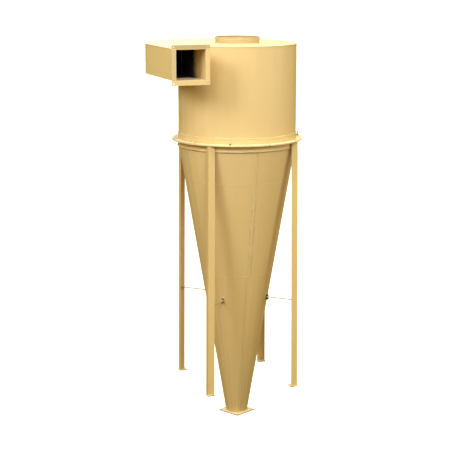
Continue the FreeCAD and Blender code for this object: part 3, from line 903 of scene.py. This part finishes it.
def along_inner_wall(level, up):
    """Path along the duct's inner wall, from the mouth to where it meets the barrel."""
    return straight_path(
        (INNER_WALL, SLEEVE_END, level), (INNER_WALL, MEETING, level), (0.7, 0, up))


roof_path, roof_out = scroll_plan(ROOF_TOP - HAIR, 45, AXIS[1])
front_path, front_out = round_path(SHELL_RADIUS, ROOF_TOP - HAIR, 0, MEETING_AZIMUTH, 45)
roof_path = np.vstack([roof_path[:-1], front_path])
roof_edge = bead(roof_path, np.vstack([roof_out[:-1], front_out]), *THIN)
floor_edge = bead(*scroll_plan(DUCT_FLOOR + 1.5 * CORNER, -30, AXIS[1] + 0.03), *THIN)
path = round_path(SHELL_RADIUS + CORNER, DUCT_FLOOR - HAIR, 186, 4, -45)
under_floor = bead(*path, width=0.009, height=0.003)
inner_top = bead(*along_inner_wall(ROOF_TOP - HAIR, 0.7), *THIN)
inner_bottom = bead(*along_inner_wall(DUCT_FLOOR + HAIR, -0.7), *THIN)
in_the_fork = (INNER_WALL + 0.0008, MEETING - 0.012)
path = straight_path(
    (*in_the_fork, DUCT_FLOOR + 0.003), (*in_the_fork, ROOF_TOP - 0.003), (0, -1, 0))
fork = bead(*path, width=0.005, height=0.004)
make_piece("weld_roof_edge", [roof_edge], weld_paint)
make_piece("weld_scroll_floor", [floor_edge, under_floor], weld_paint)
make_piece("weld_duct_inner_wall", [inner_top, inner_bottom, fork], weld_paint)

# %% [markdown]
# The outlet is welded to the roof all round, and the hoop round its rim is welded underneath.

# %% Welds of the outlet
OUTLET_RADIUS = outlet_high[0] - AXIS[0]
HOOP_LEVEL = box_of("outlet_hoop")[0][2]
path = round_path(OUTLET_RADIUS + CORNER, ROOF_TOP + CORNER, 0, 360, 45)
root = bead(*path, width=0.009, height=0.003, ring=True)
path = round_path(OUTLET_RADIUS + CORNER, HOOP_LEVEL, 0, 360, -35)
hoop = bead(*path, width=0.006, height=0.002, ring=True)
make_piece("weld_outlet", [root, hoop], weld_paint, ring=True)

# %% [markdown]
# The mouth's frame is four angle bars. Its sleeve is stitched to the duct, and the bars' butt
# joints are filled on the face and ground nearly flush, so that a gasket seals on them.

# %% Welds of the mouth
STITCH_PLACES = (-0.07, 0.07)     # from the middle of a side
HALF_STITCH = 0.022
UP, RIGHT = np.array([(0, 0, 1), (1, 0, 0)])
sides = (                         # middle of the side, direction along it, outward
    ((DUCT_X, 0, ROOF_TOP), RIGHT, UP),
    ((DUCT_X, 0, DUCT_FLOOR), RIGHT, -UP),
    ((INNER_WALL, 0, DUCT_Z), UP, RIGHT),
    ((OUTER_WALL, 0, DUCT_Z), UP, -RIGHT),
)
sleeve_stitches = []
for middle, along, out in sides:
    for distance in STITCH_PLACES:
        centre = middle + along * distance + out * CORNER + (0, SLEEVE_END + HAIR, 0)
        ends = centre - along * HALF_STITCH, centre + along * HALF_STITCH
        path = straight_path(*ends, out * 0.7 + (0, 0.7, 0))
        sleeve_stitches.append(bead(*path, width=0.007, height=0.003))
make_piece("weld_mouth_sleeve", sleeve_stitches, weld_paint)

butts = []
for x_low, x_high in ((mouth_low[0], OUTER_WALL), (INNER_WALL, mouth_high[0])):
    for z in (DUCT_FLOOR, ROOF_TOP):
        ends = (x_low + CORNER, FACE_Y, z), (x_high - CORNER, FACE_Y, z)
        butts.append(bead(*straight_path(*ends, (0, -1, 0)), width=0.006, height=0.0006))
make_piece("weld_mouth_corners", butts, weld_paint)

# %% [markdown]
# Each leg is welded to the ring above and to its foot plate below, along the outside of both its
# faces. One quarter is worked out and then turned three times.

# %% Welds of the legs
QUARTERS = (0, 90, 180, 270)
LEG_WIDTH = 0.050
LEG_CLEARANCE = 0.0535            # from the shell to a leg's heel, under the ring
HEEL_ROUNDING = 0.002
FOOT_TOP = box_of("foot_plate_front_left")[1][2]
leg_low, leg_high = box_of("leg_front_left")
FOOT_HEEL = AXIS[0] - leg_low[0]
TOP_HEEL = (SHELL_RADIUS + LEG_CLEARANCE) * np.cos(np.radians(45))


def turn_about_axis(grid, degrees):
    """The same grid turned about the cyclone's axis."""
    c, s = np.cos(np.radians(degrees)), np.sin(np.radians(degrees))
    return (grid - AXIS) @ np.array([[c, s, 0], [-s, c, 0], [0, 0, 1]]) + AXIS


def round_heel(heel, level, lean):
    """Path along the outside of both faces of the front left leg, at heel in x and in y."""
    away_x, away_y = (LEG_WIDTH, HEEL_ROUNDING, 0, 0, 0), (0, 0, 0, HEEL_ROUNDING, LEG_WIDTH)
    path = AXIS + (-heel, -heel, level) + np.column_stack([away_x, away_y, np.zeros(5)])
    out_x, out_y = (0, 0, -0.7, -1, -1), (-1, -1, -0.7, 0, 0)
    return path, np.column_stack([out_x, out_y, np.full(5, float(lean))])


leg_welds = [
    bead(*round_heel(TOP_HEEL, leg_high[2] - HAIR, -1), *FILLET),
    bead(*round_heel(FOOT_HEEL, FOOT_TOP + HAIR, 1), *FILLET),
]
leg_welds = [turn_about_axis(weld, turn) for turn in QUARTERS for weld in leg_welds]
make_piece("weld_legs", leg_welds, weld_paint)

# %% [markdown]
# A lug on the cone is welded on both sides, and the tie rod ends in a swelling of weld metal at
# the lug and at the leg. All of it lies along the diagonal under the front left leg.

# %% Welds of the ties
LUG_HALF = 0.003
ROD_RADIUS = 0.0040
lug_low, lug_high = box_of("tie_lug_front_left")
rod_low, rod_high = box_of("tie_rod_front_left")
TIE_LEVEL = (rod_low[2] + rod_high[2]) / 2
diagonal = np.array([-1, -1, 0]) / np.sqrt(2)
across = np.array([1, -1, 0]) / np.sqrt(2)
rod_middle = np.linalg.norm((rod_low + rod_high - 2 * AXIS)[:2]) / 2
rod_half = np.linalg.norm((rod_high - rod_low)[:2]) / 2
LUG_END, LEG_END = rod_middle - rod_half, rod_middle + rod_half


def swelling(start, end, thick):
    """Grid of a lump round the front left tie, between two distances from the axis.

    Its radius is the rod's plus what it is thicker by * (1 - u squared), u from -1 to 1."""
    u = np.linspace(-1, 1, 9)
    t = np.linspace(0, 2 * np.pi, 12, endpoint=False)
    ring = np.cross(diagonal, UP) * np.cos(t)[:, None] + UP * np.sin(t)[:, None]
    radius = ROD_RADIUS + (thick - ROD_RADIUS) * (1 - u ** 2)
    distance = start + (end - start) * (u + 1) / 2
    centre = AXIS + UP * TIE_LEVEL + diagonal * distance[:, None]
    return centre[:, None] + ring * radius[:, None, None]


lug_welds = []
level = np.linspace(lug_low[2] + 0.002, lug_high[2] - 0.002, 6)
for side in (-1, 1):
    path = AXIS + diagonal * (cone_radius(level)[:, None] + HAIR) + across * side * LUG_HALF
    path += UP * level[:, None]
    lug_welds.append(bead(path, np.tile(diagonal + across * side, (len(level), 1)), *FILLET))
lug_welds.append(swelling(LUG_END - 0.009, LUG_END + 0.009, thick=0.0075))
lug_welds.append(swelling(LEG_END - 0.008, LEG_END + 0.004, thick=0.0080))
lug_welds = [turn_about_axis(weld, turn) for turn in QUARTERS for weld in lug_welds]
make_piece("weld_ties", lug_welds, weld_paint)
print("tie from", round(LUG_END, 3), "to", round(LEG_END, 3), "at level", round(TIE_LEVEL, 3))

# %% [markdown]
# ## The ring joint's bolts
# Ten bolts clamp the two rings, nuts up. A few were changed after painting and stayed bare, and
# two of those are longer than the rest. A turned part is a profile carried round an axis. A
# hexagon is the same, with the radius stretched between the flats: the distance to a flat divided
# by the cosine of the angle from the flat's middle. A share says how far each level of the profile
# is hexagonal, so one formula makes washers, chamfered heads, nuts and the thread's end.

# %% The bolts
BOLTS = 10
FIRST_BOLT = -116.5               # degrees
BOLT_CIRCLE = 0.480
RING_THICKNESS = 0.005
FLAT = 0.0085                     # from the middle of a 17 mm head to its flat
THREAD = 0.0048
HOLE = 0.0052
SIDES = 36


def turned_part(profile):
    """Grid of a turned part: radius * (1 + share * (1 / cos of the angle from a flat - 1))."""
    radius, level, share = np.array(profile).T[:, :, None]
    t = np.linspace(0, 2 * np.pi, SIDES, endpoint=False)
    stretch = 1 / np.cos((t + np.pi / 6) % (np.pi / 3) - np.pi / 6)
    reach = radius * (1 + share * (stretch - 1))
    return np.stack([reach * np.cos(t), reach * np.sin(t), level + 0 * t], axis=-1)


# Each row is a radius, a level and how far the section there is a hexagon.
washer = [(HOLE, 0, 0), (0.0100, 0, 0), (0.0100, 0.0018, 0), (0.0096, 0.0020, 0), (HOLE, 0.0020, 0)]
head = [(FLAT, 0.0020, 1), (FLAT, 0.0074, 1), (FLAT * 0.94, 0.0084, 0), (FLAT * 0.30, 0.0086, 0)]
nut = [(FLAT * 0.95, 0.0018, 0), (FLAT, 0.0026, 1), (FLAT, 0.0092, 1), (FLAT * 0.95, 0.0100, 0),
       (HOLE, 0.0100, 0)]
stub = [(THREAD, 0.0095, 0), (THREAD, 0.0130, 0), (0.0040, 0.0138, 0)]
long_stub = [(THREAD, 0.0095, 0), (THREAD, 0.0325, 0), (0.0040, 0.0335, 0)]
BARE = (0, 3, 7)                  # bolts changed after painting
LONG = (3, 7)                     # of which these stand further out
ALL = range(BOLTS)
SHORT = [number for number in BARE if number not in LONG]
COATED = [number for number in ALL if number not in BARE]


def round_the_ring(profile, way, numbers):
    """Copies of a turned part at numbered bolts, on top of the rings (way 1) or under (-1)."""
    place = AXIS + (0, BOLT_CIRCLE, JOINT_LEVEL + way * RING_THICKNESS)
    part = turned_part(profile) * (1, 1, way) + place
    return [turn_about_axis(part, FIRST_BOLT - 90 + number * 360 / BOLTS) for number in numbers]


bare_stubs = round_the_ring(stub, 1, SHORT) + round_the_ring(long_stub, 1, LONG)
bolt_parts = {
    "ring_bolt_heads": (round_the_ring(head, -1, ALL), bolt_paint),
    "ring_washers": (round_the_ring(washer, 1, ALL) + round_the_ring(washer, -1, ALL), bolt_paint),
    "ring_nuts": (round_the_ring(nut, 1, COATED) + round_the_ring(stub, 1, COATED), bolt_paint),
    "ring_nuts_bare": (round_the_ring(nut, 1, BARE) + bare_stubs, bolt_zinc),
}
for name, (skins, finish) in bolt_parts.items():
    make_piece(name, skins, finish, sharp=25)
